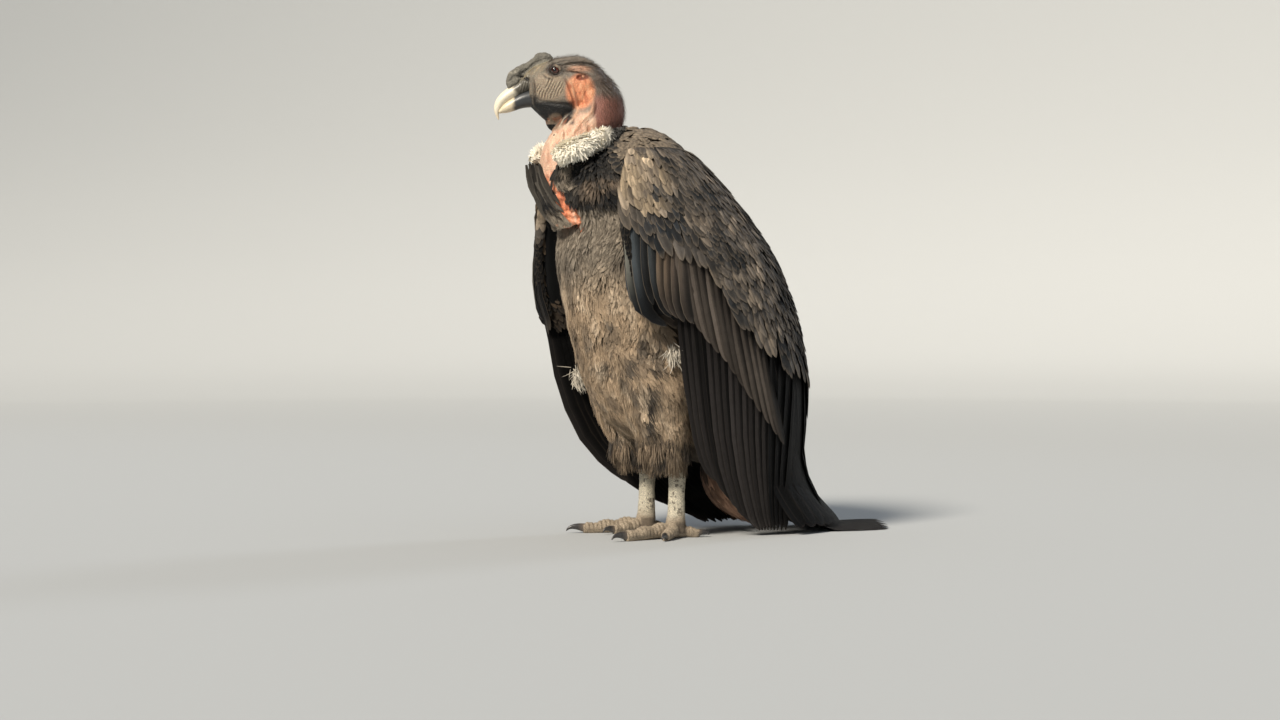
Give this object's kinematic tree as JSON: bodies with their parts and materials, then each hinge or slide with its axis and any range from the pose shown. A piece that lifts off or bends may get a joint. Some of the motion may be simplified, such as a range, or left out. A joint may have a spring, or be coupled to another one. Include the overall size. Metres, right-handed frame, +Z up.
{
  "type": "andean condor",
  "caption": "Life-size still model of a standing male Andean condor: folded wings, fleshy comb, bare wrinkled neck, pale down ruff, tail laid on the floor.",
  "frame": {"origin": "on the floor, under the middle of the whole outline", "axes": "+Z up, the bird faces -Y, its left side is +X"},
  "size_m": [0.3778, 0.6932, 0.7897],
  "materials": {
    "plumage": "matte brown feathers with pale edges",
    "flight": "satin black-brown feathers",
    "down": "soft white down",
    "face_skin": "wrinkled grey-brown bare skin",
    "neck_skin": "wrinkled pinkish orange bare skin",
    "comb_skin": "rough dark grey fleshy comb",
    "horn": "ivory horn, dark at the base of the lower bill",
    "eye": "glossy dark red-brown",
    "scale": "pale grey scaly skin",
    "claw": "dark grey horn"
  },
  "bodies": {
    "root": {"torso": "plumage", "neck": "neck_skin", "head": "face_skin", "bill_upper": "horn", "bill_lower": "horn", "comb": "comb_skin", "wattle": "neck_skin", "ruff": "down", "tail": "flight", "eye_left": "eye", "wing_left": "plumage", "thigh_left": "plumage", "tarsus_left": "scale", "foot_left": "scale", "claw_left_middle": "claw", "claw_left_inner": "claw", "claw_left_outer": "claw", "claw_left_hind": "claw", "eye_right": "eye", "wing_right": "plumage", "thigh_right": "plumage", "tarsus_right": "scale", "foot_right": "scale", "claw_right_middle": "claw", "claw_right_inner": "claw", "claw_right_outer": "claw", "claw_right_hind": "claw"}
  },
  "joints": []
}
